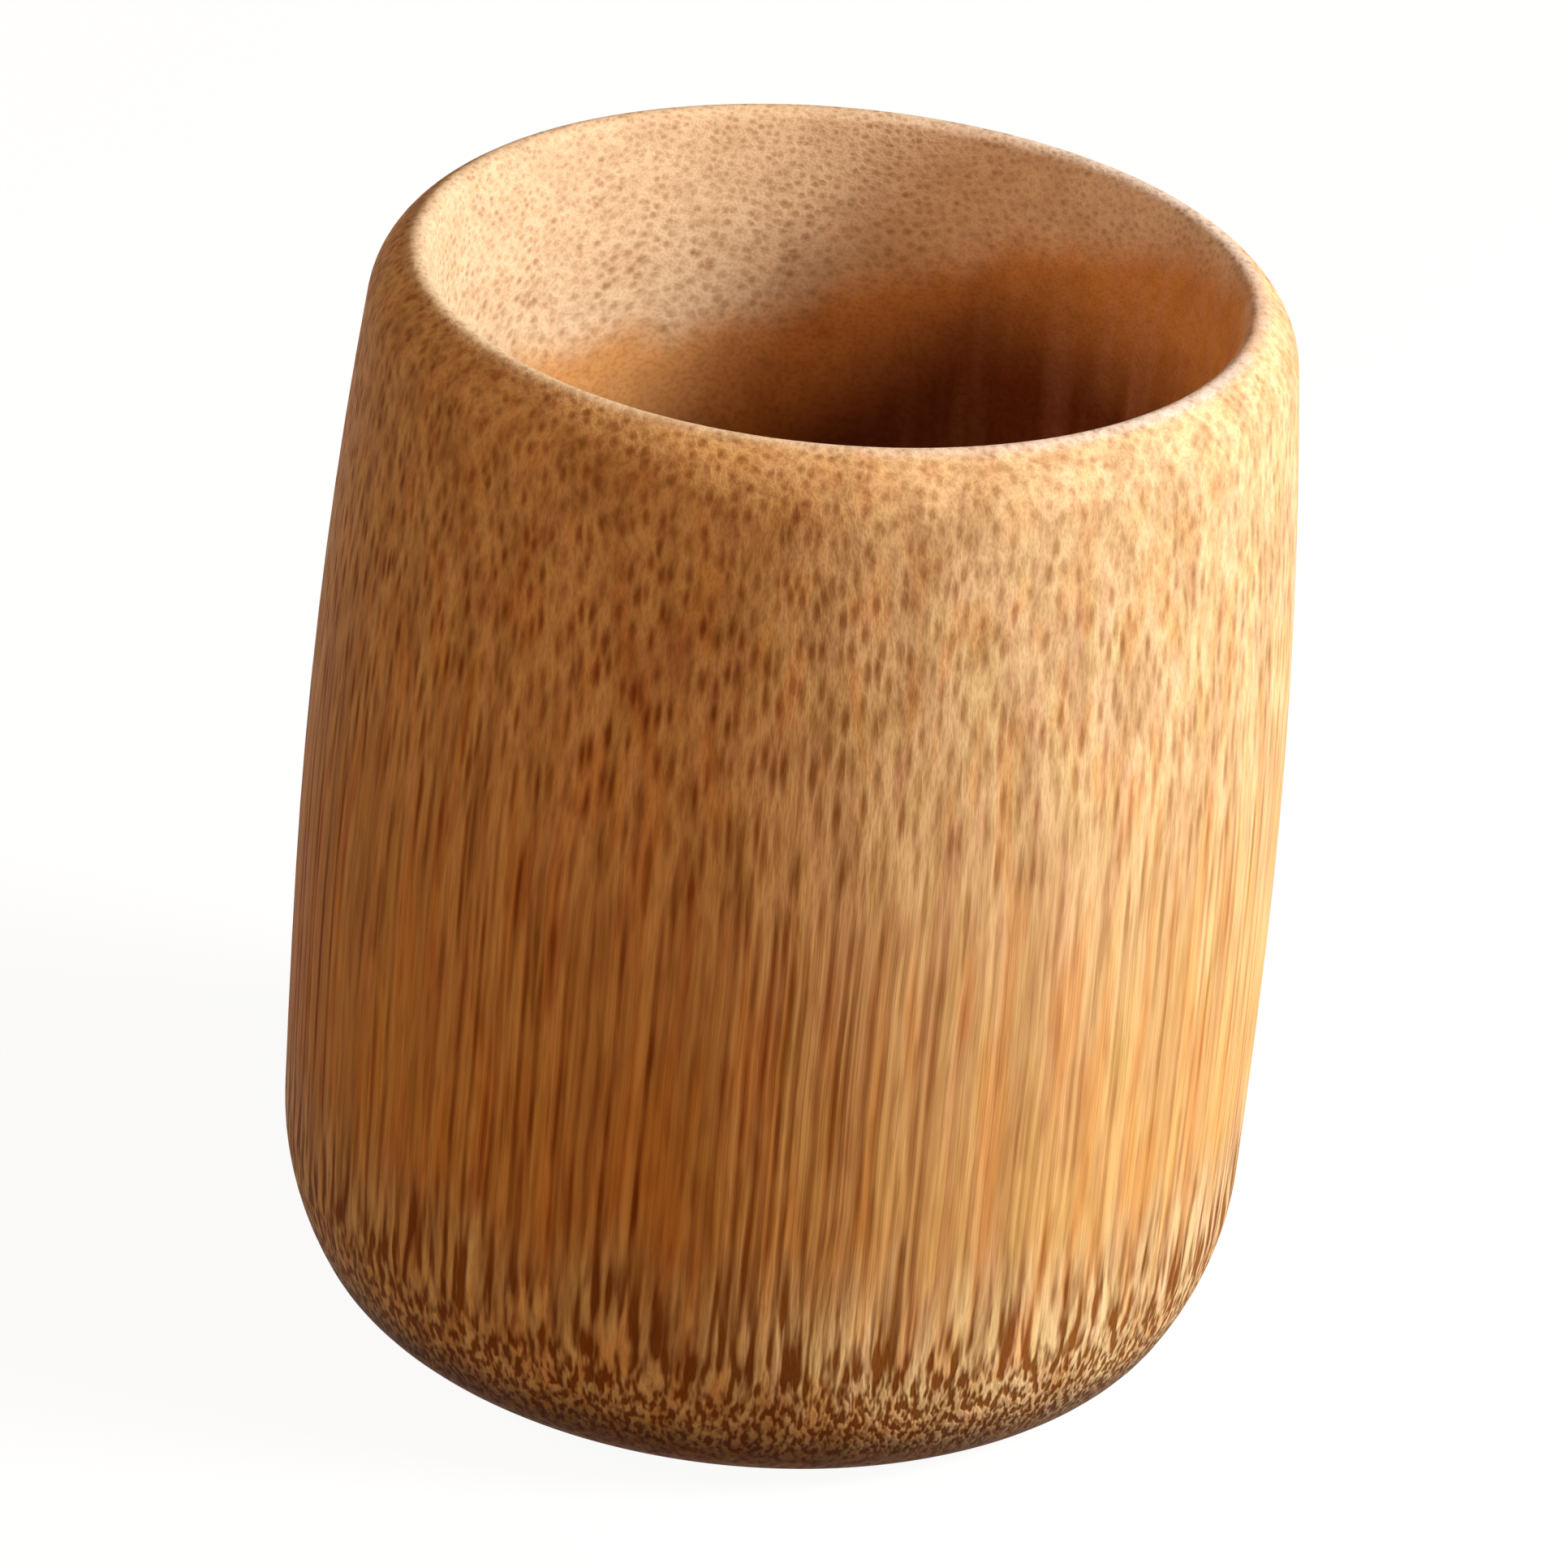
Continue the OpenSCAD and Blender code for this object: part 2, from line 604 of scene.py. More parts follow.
@dataclass(frozen=True)
class CulmFinish:
    """Heat-treated culm as a solid texture of fibres, so that each cut shows its own marks.

    The fibres show as long streaks low on the barrel, as dashes further up and as dots round the
    mouth and the foot. At the heel the soft tissue stands out in ridges. The lathe has cut the
    pale tissue at the mouth. Below that cut, the culm's own brown skin is left in the bore, and
    its darkening down the bore is partly painted shade.

    Attributes:
        name: Name of the material.
        upper, lower, heel: Ground tissue of the outside, from the shoulder down.
        pale: Ground tissue of the inside, at the mouth.
        pale_painted_lit: The same, with painted light where the edge of the cut has climbed
            highest.
        tan, deep: The skin below the cut and down the bore; deep is partly painted shade.
        vein: The faint upright veins of the skin.
        fibre: What a bundle leaves of the ground's colour.
        gap: What a gap between the heel's ridges leaves of it.
        rust, olive, rose: Tints of single streaks.
        sheen_tint: Painted sheen: how much paler the side that faces the key light is painted.
        foot: What the foot leaves of the colour: darker end grain and painted shade below.
        course: The course of the fibres.
        bundles: The generations of bundles.
        halves: Radii between which the outer half of the wall gives way to the inner, in metres.
        bore_above: Heights between which the foot gives way to the bore, in metres.
        ragged: Pattern by which the heel's and the mouth's edges are uneven.
        heel_cut: Heights between which the heel's marks come in, in metres.
        heel_ragged: How uneven that is, in metres.
        under: Heights between which the heel's ridges give way to end grain, in metres.
        sheen_bearing: Bearing of the side painted with the key light's sheen, in degrees from the
            X axis.
        sheen_edge: Cosines from that bearing between which the side begins.
        heel_sheen_loss: How much less of the painted sheen the heel shows, from 0 to 1.
        mouth_cut: Heights between which the cut inside begins, in metres.
        mouth_ragged: How uneven that is, in metres.
        mouth_side: Place on X where the edge of the cut starts to climb, in metres.
        mouth_lean: How much it climbs for each metre along X.
        fading: Pattern by which the bundles get stronger and fainter along their length.
        faint: How strong they are at the faintest.
        sheen_faded, skin_faded: How much fainter in the painted sheen and on the skin, from 0 to
            1.
        calm: Heights between which they get fainter towards the mouth, in metres.
        ridges: The ridges of soft tissue at the heel.
        net: The finer net that the ridges turn into near the foot.
        net_least: Share of the net at the top of the heel.
        net_below: Heights between which the net gains on the ridges, in metres.
        gap_edge: Heights of the soft tissue between which a gap opens, from 0 to 1.
        barrel: Heights between which the lower ground gives way to the upper, in metres.
        skin_shade_fade: Heights between which the skin and its painted shade lighten, in metres.
        skin_climb: How much further that climbs than the edge of the cut.
        skin_reach: How far it climbs at most, in metres.
        painted_light_fade: Climb of the edge over which painted light pales the tissue above it,
            in metres.
        veins: The veins of the skin.
        vein_least: How strong they are where the edge hasn't climbed.
        vein_growth: How fast they get stronger, per square metre of climb.
        bands: Broad light and dark bands.
        band_depth: How strong they are in the outer and in the inner half.
        streaks, lines: Long dark streaks and finer ones.
        streak_loss: Fading of these inside, at the heel and in the painted sheen, from 0 to 1.
        hues: The streaks that have a tint.
        hue_depth: How strong the tints are in the outer and in the inner half.
        hue_calm: Heights between which the tints get fainter towards the mouth, in metres.
        fine: The finest grain.
        foot_shade_band: Heights between which the foot darkens, partly with painted shade, in
            metres.
        mark_rough, fine_rough: What marks and the finest grain add to the roughness.
        mark_relief: Depth of the marks in the relief, on the wall and at the heel.
        fine_relief: Depth of the finest grain in the relief.
        lacquer: The lacquer over it.
        wear: How that has worn.
    """

    name: str = "culm_honey"
    upper: Colour = tone(235, 178, 115)
    lower: Colour = tone(231, 163, 87)
    heel: Colour = tone(252, 203, 138)
    pale: Colour = tone(236, 195, 153)
    pale_painted_lit: Colour = tone(246, 214, 190)
    tan: Colour = tone(228, 158, 92)
    deep: Colour = tone(120, 63, 34)
    vein: Colour = tone(226, 162, 134)
    fibre: Colour = (0.44, 0.26, 0.12, 1.0)
    gap: Colour = (0.29, 0.145, 0.055, 1.0)
    rust: Colour = (1.0, 0.78, 0.56, 1.0)
    olive: Colour = (0.96, 1.0, 0.86, 1.0)
    rose: Colour = (1.0, 0.90, 0.98, 1.0)
    sheen_tint: Colour = (1.08, 1.30, 1.77, 1.0)
    foot: Colour = (0.32, 0.29, 0.33, 1.0)

    course: Course = Course()
    bundles: tuple[Bundles, ...] = (
        Bundles(spacing=1.18 * MM, core=0.03 * MM, edge=0.58 * MM,
                outer=0.95, inner=0.28, heel=0.15, scatter=0.70),
        Bundles(spacing=0.85 * MM, core=0.05 * MM, edge=0.42 * MM,
                outer=0.22, inner=0.58, heel=0.30, scatter=0.80),
    )

    halves: Fade = Fade(34.8 * MM, 33.4 * MM)
    bore_above: Fade = Fade(5.5 * MM, 7.5 * MM)
    ragged: Grain = Grain(5 * MM, detail=2.0, rise=0.3)
    heel_cut: Fade = Fade(27 * MM, 14 * MM)
    heel_ragged: float = 16 * MM
    under: Fade = Fade(5.5 * MM, 1.5 * MM, 0.85)
    sheen_bearing: float = -32.0
    sheen_edge: Fade = Fade(0.3, 1.0)
    heel_sheen_loss: float = 0.6
    mouth_cut: Fade = Fade(70.3 * MM, 75.2 * MM)
    mouth_ragged: float = 4 * MM
    mouth_side: float = -7 * MM
    mouth_lean: float = 0.45

    fading: Grain = Grain(1.6 * MM, Fade(0.32, 0.66, 0.52), rise=0.2)
    faint: float = 0.62
    sheen_faded: float = 0.35
    skin_faded: float = 0.8
    calm: Fade = Fade(72 * MM, 90 * MM, 0.3)
    ridges: Grain = Grain(1.15 * MM, flat=True)
    net: Grain = Grain(0.6325 * MM, flat=True)
    net_least: float = 0.25
    net_below: Fade = Fade(15 * MM, 8 * MM, 0.6)
    gap_edge: Fade = Fade(0.63, 0.34)

    barrel: Fade = Fade(20 * MM, 76 * MM)
    skin_shade_fade: Fade = Fade(52 * MM, 67 * MM)
    skin_climb: float = 2.2
    skin_reach: float = 18 * MM
    painted_light_fade: Fade = Fade(0.0, 15 * MM)
    veins: Grain = Grain(2 * MM, Fade(0.34, 0.80), rise=0.10)
    vein_least: float = 0.03
    vein_growth: float = 1400.0

    bands: Grain = Grain(3.6 * MM, Fade(0.40, 0.66), flat=True)
    band_depth: tuple[float, float] = (0.30, 0.14)
    streaks: Grain = Grain(1.1 * MM, Fade(0.48, 0.70, 0.30), detail=0.0, rise=0.10)
    lines: Grain = Grain(0.5 * MM, Fade(0.46, 0.68, 0.22), detail=0.0, rise=0.10)
    streak_loss: tuple[float, float, float] = (0.7, 0.6, 0.3)
    hues: Grain = Grain(2 * MM, Fade(0.50, 0.68), detail=0.5, rise=0.10)
    hue_depth: tuple[float, float] = (0.60, 0.12)
    hue_calm: Fade = Fade(72 * MM, 90 * MM, 0.55)
    fine: Grain = Grain(0.22 * MM, Fade(0.42, 0.72, 0.24), flat=True)
    foot_shade_band: Fade = Fade(8.5 * MM, 3.5 * MM, 0.92)

    mark_rough: float = 0.08
    fine_rough: float = 0.05
    mark_relief: tuple[float, float] = (0.8, 1.6)
    fine_relief: float = 0.25
    lacquer: Lacquer = Lacquer()
    wear: Wear = Wear()

    def dressed(self) -> bpy.types.Material:
        """Builds the material.

        Returns:
            The finished material.
        """
        made = Surface(self.name)
        zones = self._zones(made)
        marks = self._marks(made, zones)
        fine = made.noise(zones.upright, self.fine)
        ground = self._tinted(made, zones, self._ground(made, zones))
        ground = made.mix(self.fine.fade.over(fine), ground, self.fibre, "MULTIPLY")
        dark = made.mix(zones.heel, self.fibre, self.gap)
        colour = made.mix(marks, ground, dark, "MULTIPLY")
        # Darker foot: partly the end grain's own tone, partly painted shade under the rounded
        # base.
        colour = made.mix(self.foot_shade_band.over(zones.z), colour, self.foot, "MULTIPLY")
        rough = self.lacquer.roughness + self.mark_rough * marks + self.fine_rough * fine
        worn = self.wear.shown(made, zones)
        rough = rough + worn * (self.lacquer.worn - self.lacquer.roughness)
        relief = 1 - marks * zones.heel.between(*self.mark_relief) - fine * self.fine_relief
        return self.lacquer.coated(made, colour, rough, relief)

    def _zones(self, made: Surface) -> Zones:
        """Works out what holds at each point.

        Args:
            made: The material's tree.

        Returns:
            The zones of the surface.
        """
        place = made.place()
        x, y, z = made.parts(place)
        radius = (x * x + y * y).root()
        inner = self.halves.over(radius) * self.bore_above.over(z)
        ragged = made.noise(place, self.ragged) - Grain.MIDDLE
        heel = self.heel_cut.over(z + ragged * self.heel_ragged) * (1 - inner)
        heel = heel * (1 - self.under.over(z))
        # Painted sheen: the side that faces the key light is painted paler, in place of its sheen.
        bearing = math.radians(self.sheen_bearing)
        facing = (x * math.cos(bearing) + y * math.sin(bearing)) / radius
        painted_sheen = self.sheen_edge.over(facing) * (1 - inner) * (1 - self.heel_sheen_loss * heel)
        climb = (x - self.mouth_side).at_least(0.0) * self.mouth_lean
        cut = self.mouth_cut.over(z - climb + ragged * self.mouth_ragged)
        upright = self.course.straightened(made, place, radius, inner)
        return Zones(place=place, z=z, upright=upright, inner=inner, heel=heel, painted_sheen=painted_sheen,
                     climb=climb, cut=cut, skin=inner * (1 - cut))

    def _marks(self, made: Surface, zones: Zones) -> Signal:
        """Adds the dark marks: the bundles and, at the heel, the gaps between the ridges.

        Args:
            made: The material's tree.
            zones: What holds at each point.

        Returns:
            How dark the mark is at each point, from 0 to 1.
        """
        bundles: Number = 0.0
        for generation in self.bundles:
            bundles = generation.shown(made, zones) + bundles
        bundles = (bundles * (self.faint + made.pattern(zones.place, self.fading))).clipped()
        # The painted sheen also washes out the bundles on that side.
        bundles = bundles * (1 - zones.painted_sheen * self.sheen_faded) * (1 - self.calm.over(zones.z))
        bundles = bundles * (1 - self.skin_faded * zones.skin)
        return (bundles + self._gaps(made, zones) * zones.heel).clipped()

    def _gaps(self, made: Surface, zones: Zones) -> Signal:
        """Adds the gaps between the heel's ridges.

        Args:
            made: The material's tree.
            zones: What holds at each point.

        Returns:
            How open the gap is at each point, from 0 to 1.
        """
        ridges = made.noise(zones.upright, self.ridges)
        net = made.noise(zones.upright, self.net)
        share = self.net_least + self.net_below.over(zones.z)
        return self.gap_edge.over(ridges + (net - ridges) * share)

    def _ground(self, made: Surface, zones: Zones) -> Signal:
        """Colours the soft tissue and the skin by where the culm was cut.

        Args:
            made: The material's tree.
            zones: What holds at each point.

        Returns:
            The colour at each point.
        """
        outer = made.mix(self.barrel.over(zones.z), self.lower, self.upper)
        outer = made.mix(zones.heel, outer, self.heel)
        lifted = (zones.climb * self.skin_climb).at_most(self.skin_reach)
        # The skin darkens down the bore: partly its own tone, partly painted shade in the hollow.
        bore = made.mix(self.skin_shade_fade.over(zones.z - lifted), self.deep, self.tan)
        # Painted light: pale tissue painted paler where the edge climbs, in the key light's shade.
        mouth = made.mix(self.painted_light_fade.over(zones.climb), self.pale, self.pale_painted_lit)
        bore = made.mix(zones.cut, bore, mouth)
        ground = made.mix(zones.inner, outer, bore)
        strength = self.vein_least + zones.climb * zones.climb * self.vein_growth
        veins = made.pattern(zones.place, self.veins) * zones.skin * strength
        return made.mix(veins, ground, self.vein)

    def _tinted(self, made: Surface, zones: Zones, ground: Signal) -> Signal:
        """Adds bands, streaks, the tints of single streaks and the painted sheen of the key light.

        Args:
            made: The material's tree.
            zones: What holds at each point.
            ground: The colour without them.

        Returns:
            The colour with them.
        """
        bands = made.pattern(zones.upright, self.bands) * zones.inner.between(*self.band_depth)
        ground = made.mix(bands, ground, self.fibre, "MULTIPLY")
        # The painted sheen also washes out the streaks on that side.
        inside, below, sheened = self.streak_loss
        left = 1 - inside * zones.inner - below * zones.heel - sheened * zones.painted_sheen
        streaks = made.pattern(zones.upright, self.streaks)
        streaks = streaks + made.pattern(zones.upright, self.lines)
        ground = made.mix(streaks * left, ground, self.fibre, "MULTIPLY")
        depth = zones.inner.between(*self.hue_depth) * (1 - self.hue_calm.over(zones.z))
        hues = made.parts(made.noises(zones.upright, self.hues))
        for hue, tint in zip(hues, (self.rust, self.olive, self.rose)):
            ground = made.mix(self.hues.fade.over(hue) * depth, ground, tint, "MULTIPLY")
        # Painted sheen of the key light on the side that faces it.
        return made.mix(zones.painted_sheen, ground, self.sheen_tint, "MULTIPLY")


@dataclass(frozen=True)
class NodeFinish:
    """The node's matted tissue, where the fibres turn and cross the culm.

    Attributes:
        name: Name of the material.
        ground: Colour of the tissue.
        strand: What a crossing strand leaves of the colour.
        pore: What the end of a bundle leaves of the colour.
        rim: What the darker edge against the wall leaves of the colour.
        tangle: Pattern by which the strands turn.
        turn: How far they turn out of their way, in metres.
        strands: The crossing strands.
        mottle: Broad darker patches.
        pore_spacing: Mean distance between the ends of bundles, in metres.
        pore_edge: Distances from a bundle's middle between which it darkens, in spacings.
        rim_edge: Radii between which the edge darkens, in metres.
        strand_depth, pore_depth: How strongly strands and pores show.
        strand_relief, pore_relief: How deep they lie in the relief.
        strand_rough: What strands add to the roughness.
        lacquer: The lacquer over it.
    """

    name: str = "node_matted"
    ground: Colour = tone(188, 130, 76)
    strand: Colour = (0.62, 0.50, 0.38, 1.0)
    pore: Colour = (0.36, 0.26, 0.18, 1.0)
    rim: Colour = (0.60, 0.50, 0.42, 1.0)
    tangle: Grain = Grain(4 * MM, detail=2.0)
    turn: float = 6 * MM
    strands: Grain = Grain(0.9 * MM, Fade(0.42, 0.66), detail=3.0, rough=0.65)
    mottle: Grain = Grain(3.5 * MM, Fade(0.35, 0.7, 0.35), detail=2.0)
    pore_spacing: float = 1.6 * MM
    pore_edge: Fade = Fade(0.24, 0.10)
    rim_edge: Fade = Fade(18.5 * MM, 21.4 * MM, 0.8)
    strand_depth: float = 0.7
    pore_depth: float = 0.8
    strand_relief: float = 0.5
    pore_relief: float = 0.5
    strand_rough: float = 0.1
    lacquer: Lacquer = Lacquer(roughness=0.56, sink=0.12 * MM, crisp=0.6)

    def dressed(self) -> bpy.types.Material:
        """Builds the material.

        Returns:
            The finished material.
        """
        made = Surface(self.name)
        place = made.place()
        x, y, _ = made.parts(place)
        radius = (x * x + y * y).root()
        tangle = made.noises(place, self.tangle)
        turned = made.vector("ADD", place, made.scaled(tangle, self.turn))
        strands = made.pattern(turned, self.strands)
        cells = made.add("ShaderNodeTexVoronoi", {"voronoi_dimensions": "2D"}, {
            "Vector": turned, "Scale": 1 / self.pore_spacing})
        pores = self.pore_edge.over(Signal(made, cells.outputs["Distance"]))
        mottle = made.pattern(place, self.mottle)
        colour = made.mix(mottle, self.ground, self.strand, "MULTIPLY")
        colour = made.mix(strands * self.strand_depth, colour, self.strand, "MULTIPLY")
        colour = made.mix(pores * self.pore_depth, colour, self.pore, "MULTIPLY")
        colour = made.mix(self.rim_edge.over(radius), colour, self.rim, "MULTIPLY")
        rough = self.lacquer.roughness + self.strand_rough * strands
        relief = 1 - strands * self.strand_relief - pores * self.pore_relief
        return self.lacquer.coated(made, colour, rough, relief)


# Turned pieces


def half_section(node: bpy.types.Object, merge: float = 0.01 * MM) -> list[Vector]:
    """Reads the outline that a turned solid was spun from.

    Args:
        node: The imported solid, which is round about the Z axis.
        merge: Distance under which corners are one, in metres.

    Returns:
        The outline's corners in the XZ plane, in order, with the first repeated at the end of a
        closed outline. The walk starts at the lowest corner next to the axis.
    """
    flat = bmesh.new()
    flat.from_mesh(node.data)
    for vert in flat.verts:
        vert.co = (math.hypot(vert.co.x, vert.co.y), 0.0, vert.co.z)
    bmesh.ops.remove_doubles(flat, verts=flat.verts, dist=merge)
    flat.verts.index_update()
    corners = [vert.co.copy() for vert in flat.verts]
    joined = {vert.index: {edge.other_vert(vert).index for edge in vert.link_edges}
              for vert in flat.verts}
    flat.free()
    start = min(range(len(corners)), key=lambda i: (round(corners[i].x / merge), corners[i].z))
    path = [start]
    while True:
        ahead = [i for i in joined[path[-1]] if i not in path]
        if not ahead:
            break
        path.append(min(ahead, key=lambda i: (corners[i] - corners[path[-1]]).length))
    outline = [corners[i] for i in path]
    if start in joined[path[-1]] and len(path) > 2 and corners[start].x > merge:
        outline.append(outline[0])
    return outline


@dataclass
class Lathe:
    """Turns an outline into a closed mesh with Geometry Nodes.

    Attributes:
        segments: Facets round the axis.
        merge: Distance under which the seam and the pole close, in metres.
    """

    segments: int = 360
    merge: float = 0.001 * MM

    def turned(self, name: str, outline: list[Vector],
               finish: bpy.types.Material) -> bpy.types.Object:
        """Spins an outline round the Z axis.

        Args:
            name: Name of the piece.
            outline: Corners in the XZ plane, in order.
            finish: The piece's material.

        Returns:
            A plain mesh object with outward normals.
        """
        line = bpy.data.meshes.new(name + "_outline")
        edges = [(i, i + 1) for i in range(len(outline) - 1)]
        line.from_pydata([tuple(corner) for corner in outline], edges, [])
        blank = bpy.data.objects.new(name + "_blank", line)
        bpy.context.collection.objects.link(blank)
        modifier = blank.modifiers.new("lathe", "NODES")
        modifier.node_group, sockets = self._tree(name)
        modifier[sockets["Segments"]] = self.segments
        modifier[sockets["Merge"]] = self.merge
        modifier[sockets["Finish"]] = finish
        graph = bpy.context.evaluated_depsgraph_get()
        mesh = bpy.data.meshes.new_from_object(blank.evaluated_get(graph))
        mesh.name = name
        bpy.data.objects.remove(blank)
        self._face_outwards(mesh)
        piece = bpy.data.objects.new(name, mesh)
        bpy.context.collection.objects.link(piece)
        return piece

    def _tree(self, name: str) -> tuple[bpy.types.NodeTree, dict[str, str]]:
        """Builds the lathe's tree: a grid of corners by facets, each row laid on its circle.

        Args:
            name: Name of the piece that the tree turns.

        Returns:
            The tree, and the identifier of each of its inputs by name.
        """
        group = bpy.data.node_groups.new(name + "_lathe", "GeometryNodeTree")
        face = group.interface
        face.new_socket("Outline", in_out="INPUT", socket_type="NodeSocketGeometry")
        sockets = {}
        for label, kind in (("Segments", "Int"), ("Merge", "Float"), ("Finish", "Material")):
            made = face.new_socket(label, in_out="INPUT", socket_type="NodeSocket" + kind)
            sockets[label] = made.identifier
        face.new_socket("Piece", in_out="OUTPUT", socket_type="NodeSocketGeometry")
        tree = Tree(group)
        given = tree.add("NodeGroupInput", {}, {}).outputs
        size = tree.add("GeometryNodeAttributeDomainSize", {}, {0: given["Outline"]})
        columns = self._whole(tree, "ADD", given["Segments"], 1)
        grid = tree.add("GeometryNodeMeshGrid", {}, {
            "Vertices X": size.outputs["Point Count"], "Vertices Y": columns})
        index = tree.add("GeometryNodeInputIndex", {}, {}).outputs[0]
        row = self._whole(tree, "DIVIDE_FLOOR", index, columns)
        column = self._whole(tree, "MODULO", index, columns)
        where = tree.add("GeometryNodeInputPosition", {}, {}).outputs[0]
        sampled = {"data_type": "FLOAT_VECTOR", "domain": "POINT"}
        corner = tree.add("GeometryNodeSampleIndex", sampled, {
            "Geometry": given["Outline"], "Value": where, "Index": row})
        turn = Signal(tree, column) / Signal(tree, given["Segments"])
        spun = tree.add("ShaderNodeVectorRotate", {"rotation_type": "Z_AXIS"}, {
            "Vector": corner.outputs[0], "Angle": turn * math.tau})
        moved = tree.add("GeometryNodeSetPosition", {}, {
            "Geometry": grid.outputs["Mesh"], "Position": spun.outputs[0]})
        closed = tree.add("GeometryNodeMergeByDistance", {}, {
            "Geometry": moved.outputs[0], "Distance": given["Merge"]})
        smooth = tree.add("GeometryNodeSetShadeSmooth", {}, {"Geometry": closed.outputs[0]})
        real = tree.add("GeometryNodeRealizeInstances", {}, {"Geometry": smooth.outputs[0]})
        dressed = tree.add("GeometryNodeSetMaterial", {}, {
            "Geometry": real.outputs[0], "Material": given["Finish"]})
        tree.add("NodeGroupOutput", {}, {"Piece": dressed.outputs[0]})
        return group, sockets

    @staticmethod
    def _whole(tree: Tree, operation: str, first: Any, second: Any) -> bpy.types.NodeSocket:
        """Adds an Integer Math node and returns its output."""
        made = tree.add("FunctionNodeIntegerMath", {"operation": operation}, {0: first, 1: second})
        return made.outputs[0]

    @staticmethod
    def _face_outwards(mesh: bpy.types.Mesh) -> None:
        """Turns the faces of a closed mesh to point out of the bamboo.

        Args:
            mesh: The mesh, which is changed in place.
        """
        solid = bmesh.new()
        solid.from_mesh(mesh)
        bmesh.ops.recalc_face_normals(solid, faces=solid.faces)
        solid.to_mesh(mesh)
        solid.free()


@dataclass
class TurnedPiece:
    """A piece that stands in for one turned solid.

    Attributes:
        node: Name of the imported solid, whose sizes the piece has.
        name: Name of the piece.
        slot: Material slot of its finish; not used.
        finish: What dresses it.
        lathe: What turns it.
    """

    node: str
    name: str
    slot: Slot
    finish: Union[CulmFinish, NodeFinish]
    lathe: Lathe = field(default_factory=Lathe)

    def build(self, frame: dict[str, Any]) -> bpy.types.Object:
        """Turns the piece, dresses it and puts it in its solid's place.

        Args:
            frame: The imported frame.

        Returns:
            The finished piece.
        """
        outline = half_section(frame["nodes"][self.node])
        piece = self.lathe.turned(self.name, outline, self.finish.dressed())
        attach(piece, ROOT)
        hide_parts(self.node)
        return piece


@dataclass
class CulmWall(TurnedPiece):
    """The turned tube of the cup: barrel, lip, bore, heel and foot ring."""

    node: str = "culm_wall"
    name: str = "turned_culm"
    slot: Slot = Slot.CULM
    finish: CulmFinish = field(default_factory=CulmFinish)


@dataclass
class NodeDiaphragm(TurnedPiece):
    """The plate of the culm's node, which is the cup's floor."""

    node: str = "node_diaphragm"
    name: str = "node_plate"
    slot: Slot = Slot.NODE
    finish: NodeFinish = field(default_factory=NodeFinish)


# Studio


@dataclass(frozen=True)
class Viewpoint:
    """The camera, placed as the photograph's was.

    Attributes:
        elevation: Degrees above the table.
        roll: Degrees that the camera leans.
        distance: Metres to the point aimed at.
        lens: Focal length, in millimetres.
        sensor: Width of the sensor, in millimetres.
        nearest, farthest: Distances between which things show, in metres.
        aim: The point aimed at, in metres.
    """

    elevation: float = 27.01
    roll: float = 5.191
    distance: float = 658.26 * MM
    lens: float = 184.91
    sensor: float = 36.0
    nearest: float = 0.01
    farthest: float = 20.0
    aim: tuple[float, float, float] = (-0.654 * MM, 0.0, 45.41 * MM)

    def place(self) -> None:
        """Makes the scene's camera."""
        lens = bpy.data.cameras.new("camera")
        lens.lens = self.lens
        lens.sensor_width = self.sensor
        lens.clip_start = self.nearest
        lens.clip_end = self.farthest
        camera = bpy.data.objects.new("camera", lens)
        bpy.context.collection.objects.link(camera)
        rise = math.radians(self.elevation)
        back = Vector((0.0, -math.cos(rise), math.sin(rise)))
        upright = Matrix.Rotation(math.pi / 2 - rise, 4, "X")
        leant = upright @ Matrix.Rotation(math.radians(self.roll), 4, "Z")
        camera.matrix_world = Matrix.Translation(Vector(self.aim) + back * self.distance) @ leant
        bpy.context.scene.camera = camera


@dataclass(frozen=True)
class Softbox:
    """A square soft light that faces the cup.

    Attributes:
        name: Name of the light.
        azimuth: Degrees round the cup, from the camera's side towards the right.
        elevation: Degrees above the table.
        distance: Metres from the middle of the cup.
        width: Metres along each side.
        power: Watts.
        colour: Colour of the light.
    """

    name: str
    azimuth: float
    elevation: float
    distance: float
    width: float
    power: float
    colour: tuple[float, float, float]

    def place(self, target: Vector) -> None:
        """Hangs the light.

        Args:
            target: The point that it is turned to.
        """
        lamp = bpy.data.lights.new(self.name, "AREA")
        lamp.shape = "SQUARE"
        lamp.size = self.width
        lamp.energy = self.power
        lamp.color = self.colour
        around, rise = math.radians(self.azimuth), math.radians(self.elevation)
        level = math.cos(rise)
        way = Vector((math.sin(around) * level, -math.cos(around) * level, math.sin(rise)))
        made = bpy.data.objects.new(self.name, lamp)
        bpy.context.collection.objects.link(made)
        made.location = target + way * self.distance
        made.rotation_euler = way.to_track_quat("Z", "Y").to_euler()


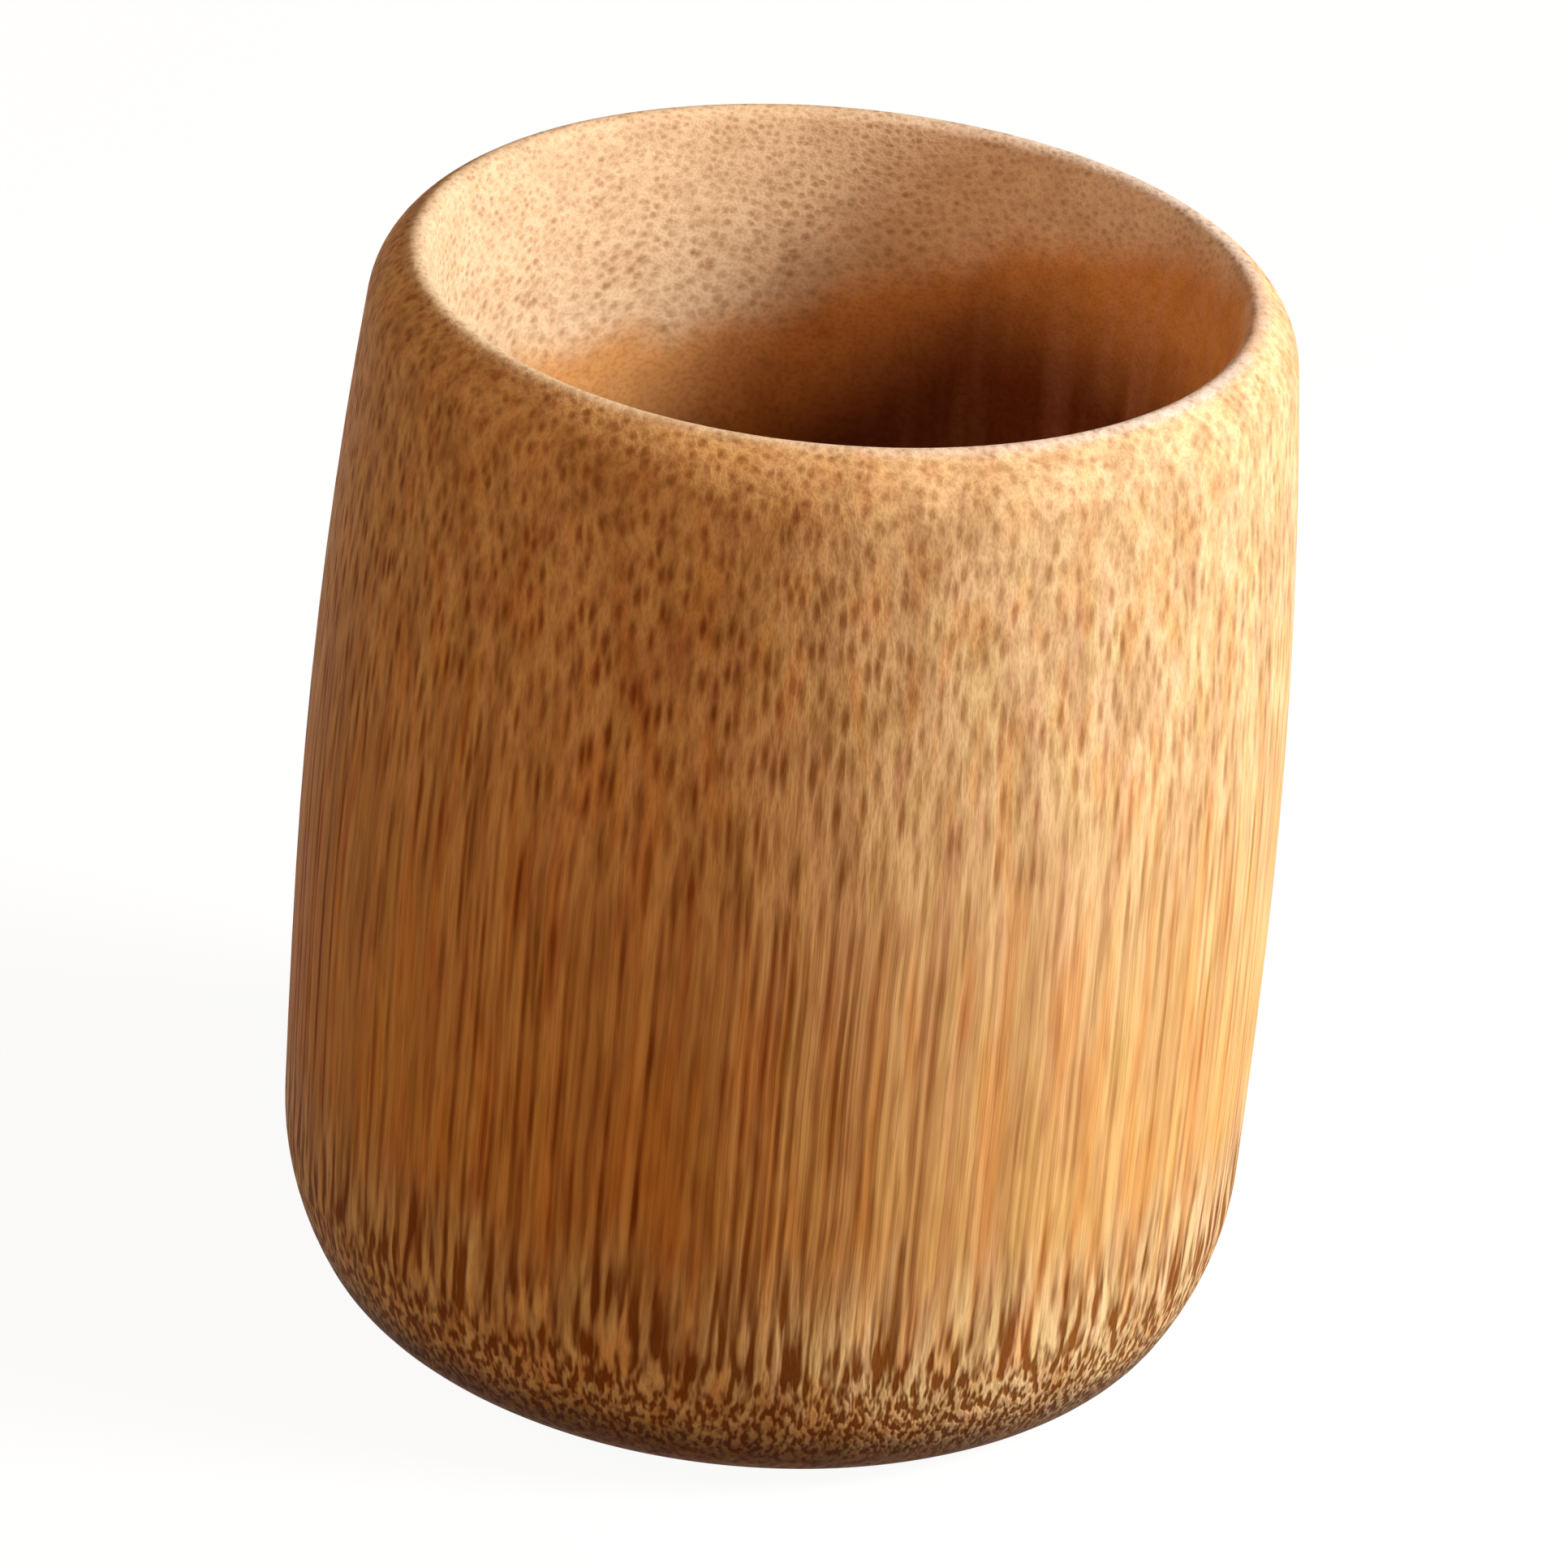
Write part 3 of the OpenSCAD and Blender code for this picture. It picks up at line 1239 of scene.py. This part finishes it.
@dataclass
class Studio:
    """A pale floor, a pale backdrop and soft light, most of it from the right.

    Attributes:
        view: The camera.
        lights: The lights.
        floor_width: Metres along each side of the floor.
        floor_gap: How far it lies below the foot, so that the two share no plane, in metres.
        floor_colour: Its colour in the light of the lamps.
        floor_glow: How bright it is of itself to the rays that show the backdrop.
        backdrop: How bright the world is to those rays.
        ambient: How bright it is to all others.
    """

    view: Viewpoint = field(default_factory=Viewpoint)
    lights: tuple[Softbox, ...] = (
        Softbox("key", azimuth=84.0, elevation=33.0, distance=1.0, width=0.3, power=18.5,
                colour=(0.82, 0.93, 1.0)),
        Softbox("front", azimuth=18.0, elevation=11.0, distance=1.2, width=0.7, power=4.6,
                colour=(1.0, 0.64, 0.34)),
        Softbox("fill", azimuth=-75.0, elevation=34.0, distance=1.2, width=0.7, power=3.9,
                colour=(1.0, 0.70, 0.40)),
    )
    floor_width: float = 6.0
    floor_gap: float = 0.05 * MM
    floor_colour: Colour = (0.08, 0.066, 0.052, 1.0)
    floor_glow: float = 0.94
    backdrop: float = 1.0
    ambient: float = 0.06

    def build(self) -> None:
        """Sets up the camera, the lights, the floor and the world."""
        self.view.place()
        lo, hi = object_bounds()
        for light in self.lights:
            light.place((lo + hi) / 2)
        self._floor()
        self._world()
        bpy.context.scene.view_settings.view_transform = "Standard"

    @staticmethod
    def _seen(tree: Tree) -> Signal:
        """Picks out the rays that show the backdrop.

        Args:
            tree: The tree of the floor's material or of the world.

        Returns:
            1 for rays from the camera, from gloss and through glass, and 0 for all others.
        """
        path = tree.add("ShaderNodeLightPath", {}, {}).outputs
        seen = Signal(tree, path["Is Camera Ray"]) + Signal(tree, path["Is Glossy Ray"])
        return (seen + Signal(tree, path["Is Transmission Ray"])).clipped()

    def _floor(self) -> None:
        """Lays the floor, which reads as white and keeps the cup's shadow."""
        made = Surface("pale_floor")
        matt = made.add("ShaderNodeBsdfDiffuse", {}, {"Color": self.floor_colour})
        glow = made.add("ShaderNodeEmission", {}, {
            "Color": WHITE, "Strength": self._seen(made) * self.floor_glow})
        both = made.add("ShaderNodeAddShader", {}, {0: matt.outputs[0], 1: glow.outputs[0]})
        made.feed(made.output.inputs["Surface"], both.outputs[0])
        half, low = self.floor_width / 2, -self.floor_gap
        corners = [(-half, -half, low), (half, -half, low), (half, half, low), (-half, half, low)]
        mesh = bpy.data.meshes.new("floor")
        mesh.from_pydata(corners, [], [(0, 1, 2, 3)])
        mesh.materials.append(made.material)
        floor = bpy.data.objects.new("floor", mesh)
        bpy.context.collection.objects.link(floor)
        floor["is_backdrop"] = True

    def _world(self) -> None:
        """Gives the world a dim even light, which reads as white to the camera."""
        world = bpy.data.worlds.new("studio")
        world.use_nodes = True
        bpy.context.scene.world = world
        tree = Tree(world.node_tree)
        strength = self._seen(tree).between(self.ambient, self.backdrop)
        glow = tree.add("ShaderNodeBackground", {}, {"Color": WHITE, "Strength": strength})
        tree.add("ShaderNodeOutputWorld", {}, {"Surface": glow.outputs[0]})


def main() -> None:
    """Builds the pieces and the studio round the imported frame."""
    logging.basicConfig(level=logging.INFO, format="%(name)s: %(message)s")
    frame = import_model()
    for part in (CulmWall(), NodeDiaphragm()):
        piece = part.build(frame)
        log.info("%s: %d faces", piece.name, len(piece.data.polygons))
    Studio().build()


if __name__ == "__main__":
    main()
